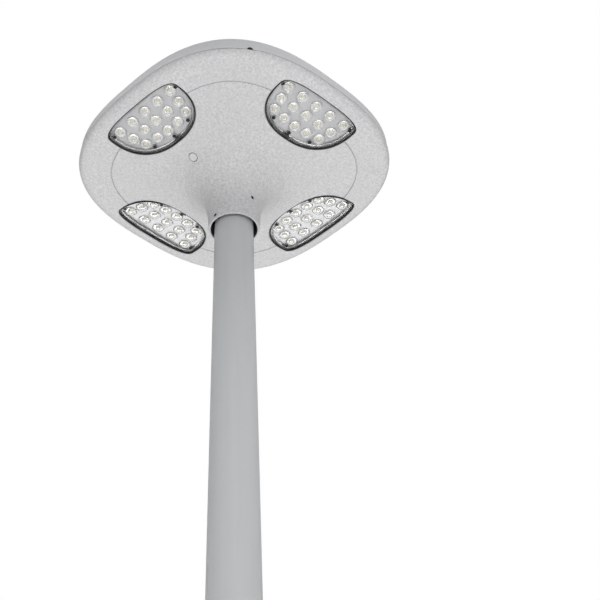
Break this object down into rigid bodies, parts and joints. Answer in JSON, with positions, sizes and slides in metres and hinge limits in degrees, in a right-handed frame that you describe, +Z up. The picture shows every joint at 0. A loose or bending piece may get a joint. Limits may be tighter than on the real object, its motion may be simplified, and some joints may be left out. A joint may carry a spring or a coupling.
{
  "type": "solar street lamp",
  "caption": "Post-top solar street lamp: rounded-square head with downward LED modules and a flush solar panel on top, on a tapered round pole with a bolted base flange.",
  "frame": {"origin": "centre of the base flange's underside, on the ground and on the pole's axis", "axes": "+Z up along the pole's axis; +X towards LED module 1 and +Y towards LED module 2, square to the head's straight sides"},
  "size_m": [0.4632, 0.4632, 3.075],
  "materials": {
    "pole_paint": "satin grey powder coat",
    "head_paint": "light grey fine-textured powder coat on die-cast aluminium",
    "clip_white": "white powder coat",
    "seal_rubber": "matt black silicone",
    "lens_clear": "clear moulded polycarbonate",
    "led_board": "silvery white solder mask",
    "panel_glass": "smooth tempered glass",
    "panel_cells": "dark monocrystalline silicon under resin",
    "panel_backsheet": "white polymer sheet",
    "black_plastic": "matt black moulded plastic",
    "zinc_sheet": "zinc-plated sheet steel",
    "screw_dark": "black oxide steel",
    "battery_wrap": "blue shrink sleeve",
    "controller_case": "black anodised, potted",
    "button_silicone": "light grey silicone"
  },
  "bodies": {
    "pole": {"pole_shaft": "pole_paint", "base_flange": "pole_paint"},
    "head": {"lower_housing": "head_paint", "top_cover": "head_paint", "panel_clip_1": "clip_white", "panel_clip_2": "clip_white", "panel_clip_3": "clip_white", "panel_clip_4": "clip_white", "cover_gasket": "seal_rubber", "rim_drain_plug": "seal_rubber", "module_gasket_1": "seal_rubber", "module_gasket_2": "seal_rubber", "module_gasket_3": "seal_rubber", "module_gasket_4": "seal_rubber", "lens_cover_1": "lens_clear", "lens_cover_2": "lens_clear", "lens_cover_3": "lens_clear", "lens_cover_4": "lens_clear", "led_board_1": "led_board", "led_board_2": "led_board", "led_board_3": "led_board", "led_board_4": "led_board", "panel_glass": "panel_glass", "panel_cell_sheet": "panel_cells", "panel_backsheet": "panel_backsheet", "junction_box": "black_plastic", "switch_body": "black_plastic", "led_lead_1": "black_plastic", "led_lead_2": "black_plastic", "led_lead_3": "black_plastic", "led_lead_4": "black_plastic", "switch_lead": "black_plastic", "battery_lead": "black_plastic", "panel_lead": "black_plastic", "battery_tray": "zinc_sheet", "battery_strap": "zinc_sheet", "clip_screw_1": "screw_dark", "clip_screw_2": "screw_dark", "clip_screw_3": "screw_dark", "clip_screw_4": "screw_dark", "cover_screw_1": "screw_dark", "cover_screw_2": "screw_dark", "cover_screw_3": "screw_dark", "cover_screw_4": "screw_dark", "battery_cell_1": "battery_wrap", "battery_cell_2": "battery_wrap", "battery_cell_3": "battery_wrap", "battery_cell_4": "battery_wrap", "battery_cell_5": "battery_wrap", "battery_cell_6": "battery_wrap", "battery_cell_7": "battery_wrap", "battery_cell_8": "battery_wrap", "charge_controller": "controller_case"},
    "set_screw_1": {"set_screw_1": "screw_dark"},
    "set_screw_2": {"set_screw_2": "screw_dark"},
    "set_screw_3": {"set_screw_3": "screw_dark"},
    "set_screw_4": {"set_screw_4": "screw_dark"},
    "power_button": {"power_button": "button_silicone"}
  },
  "joints": [
    {"name": "head_swivel", "type": "hinge", "parent": "pole", "child": "head", "pos_m": [0, 0, 3], "axis": [0, 0, 1], "continuous": true},
    {"name": "set_screw_1_travel", "type": "slide", "parent": "head", "child": "set_screw_1", "axis": [1, 0, 0], "range_m": [0, 0.008]},
    {"name": "set_screw_2_travel", "type": "slide", "parent": "head", "child": "set_screw_2", "axis": [-1, 0, 0], "range_m": [0, 0.008]},
    {"name": "set_screw_3_travel", "type": "slide", "parent": "head", "child": "set_screw_3", "axis": [0, 1, 0], "range_m": [0, 0.008]},
    {"name": "set_screw_4_travel", "type": "slide", "parent": "head", "child": "set_screw_4", "axis": [0, -1, 0], "range_m": [0, 0.008]},
    {"name": "button_press", "type": "slide", "parent": "head", "child": "power_button", "axis": [0.5107, 0, 0.8598], "range_m": [0, 0.0015], "stiffness_N_per_m": 400, "springref_m": -0.0005}
  ]
}
